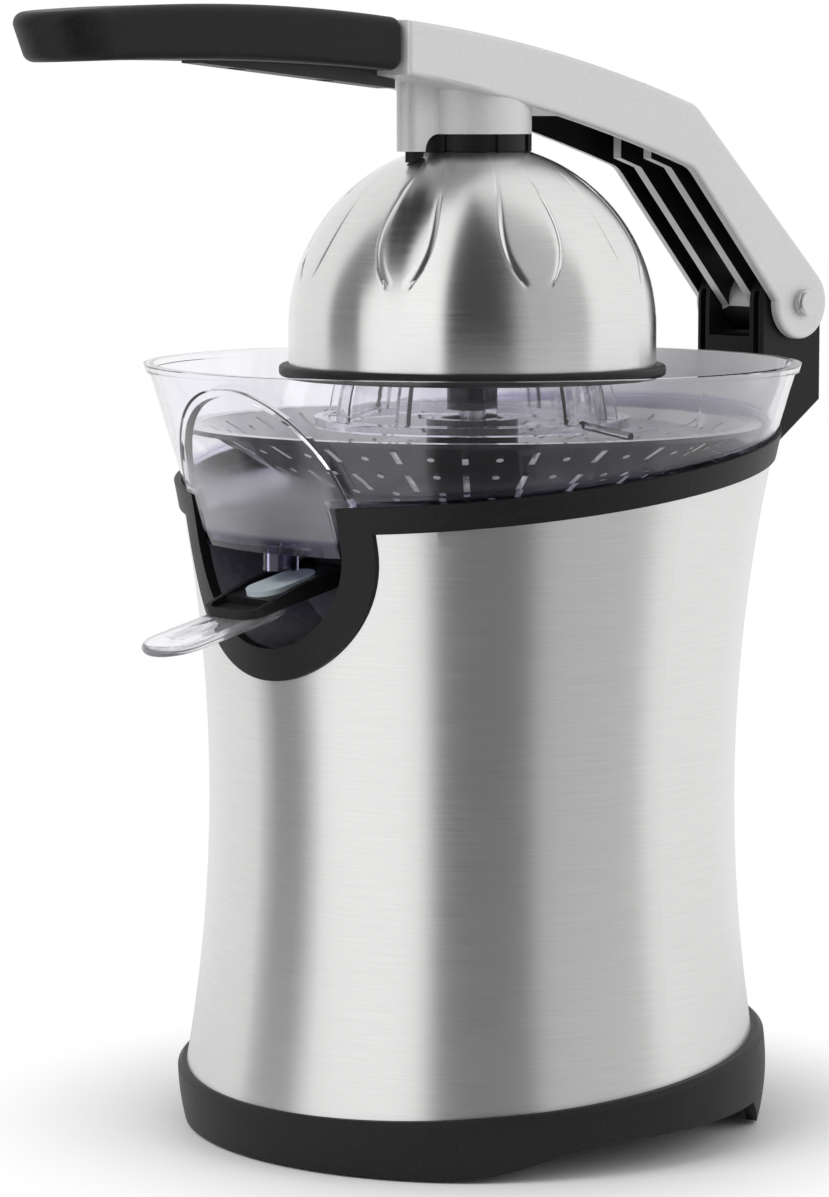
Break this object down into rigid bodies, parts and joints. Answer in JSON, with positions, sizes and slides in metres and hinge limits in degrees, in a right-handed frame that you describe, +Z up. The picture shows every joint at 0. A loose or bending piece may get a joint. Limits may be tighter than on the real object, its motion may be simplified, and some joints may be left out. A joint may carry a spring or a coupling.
{
  "type": "electric lever citrus juicer",
  "caption": "Electric citrus press: round waisted steel body, clear spouted bowl with strainer and ribbed cone, and a hinged lever arm that lowers a steel dome.",
  "frame": {"origin": "on the axis of the round body, at the floor the rubber feet stand on", "axes": "+Z up; -Y towards the spout and the handle; +Y towards the lever's hinge; +X to the right when facing +Y"},
  "size_m": [0.1969, 0.307, 0.3343],
  "materials": {
    "black_plastic": "satin black moulding",
    "brushed_steel": "fine horizontal brushing",
    "clear_plastic": "clear moulding with a faint violet-grey tint",
    "cast_silver": "matte silver lacquer on a die casting",
    "grey_plastic": "dark grey moulding",
    "white_plastic": "plain moulding",
    "rubber": "matte rubber",
    "silicone": "pale blue-grey silicone",
    "zinc_steel": "bright plated steel",
    "motor_steel": "laminated motor steel",
    "copper": "enamelled copper winding",
    "bronze": "sintered bronze"
  },
  "bodies": {
    "root": {"base_skirt": "black_plastic", "base_plate": "grey_plastic", "base_screws": "zinc_steel", "rubber_feet": "rubber", "cord_inlet": "rubber", "body_shell": "brushed_steel", "rim_frame": "black_plastic", "top_deck": "grey_plastic", "shaft_bush": "bronze", "spout_niche": "black_plastic", "juice_bowl": "clear_plastic", "strainer": "clear_plastic", "gearbox_housing": "grey_plastic", "gearbox_cover": "grey_plastic", "gearbox_screws": "zinc_steel", "idler_axle": "zinc_steel", "motor_stator": "motor_steel", "motor_coils": "copper", "upper_bracket": "zinc_steel", "lower_bracket": "zinc_steel", "motor_bearings": "bronze", "microswitch": "black_plastic", "return_spring": "zinc_steel", "hinge_tower": "black_plastic", "tower_screws": "zinc_steel", "pivot_bushes": "white_plastic", "drip_pin": "zinc_steel"},
    "arm": {"lever_arm": "cast_silver", "grip_upper": "black_plastic", "grip_lower": "grey_plastic", "grip_screws": "zinc_steel", "pivot_pin": "zinc_steel", "dome_collar": "black_plastic", "press_dome": "brushed_steel", "press_liner": "black_plastic", "dome_bolt": "zinc_steel", "fin_catch": "black_plastic"},
    "press_plunger": {"switch_plunger": "white_plastic", "switch_button": "white_plastic"},
    "drive": {"drive_shaft": "zinc_steel", "output_gear": "white_plastic", "reamer_cone": "clear_plastic", "pulp_wiper": "clear_plastic"},
    "idler": {"idler_gear": "bronze"},
    "rotor": {"rotor_core": "motor_steel", "rotor_shaft": "zinc_steel", "motor_pinion": "bronze", "cooling_fan": "white_plastic"},
    "drip": {"drip_tray": "black_plastic", "drip_seal": "silicone", "drip_tongue": "clear_plastic"}
  },
  "joints": [
    {"name": "arm_lift", "type": "hinge", "parent": "root", "child": "arm", "pos_m": [0, 0.12697, 0.2444], "axis": [-1, 0, 0], "range_deg": [0, 80]},
    {"name": "press_travel", "type": "slide", "parent": "root", "child": "press_plunger", "axis": [0, 0, 1], "range_m": [-0.002, 0], "stiffness_N_per_m": 3000, "springref_m": 0.002, "deforming": ["return_spring"]},
    {"name": "cone_spin", "type": "hinge", "parent": "press_plunger", "child": "drive", "pos_m": [0, 0, 0.2], "axis": [0, 0, 1], "continuous": true},
    {"name": "idler_spin", "type": "hinge", "parent": "root", "child": "idler", "pos_m": [0, 0.03125, 0.16], "axis": [0, 0, 1], "continuous": true},
    {"name": "rotor_spin", "type": "hinge", "parent": "root", "child": "rotor", "pos_m": [-0.02165, 0.01875, 0.1], "axis": [0, 0, 1], "continuous": true},
    {"name": "drip_stop", "type": "hinge", "parent": "root", "child": "drip", "pos_m": [0, -0.05197, 0.172], "axis": [-1, 0, 0], "range_deg": [0, 4.5]}
  ],
  "couplings": [
    {"joint": "idler_spin", "follows": "rotor_spin", "ratio": -0.25},
    {"joint": "cone_spin", "follows": "rotor_spin", "ratio": 0.0625}
  ]
}
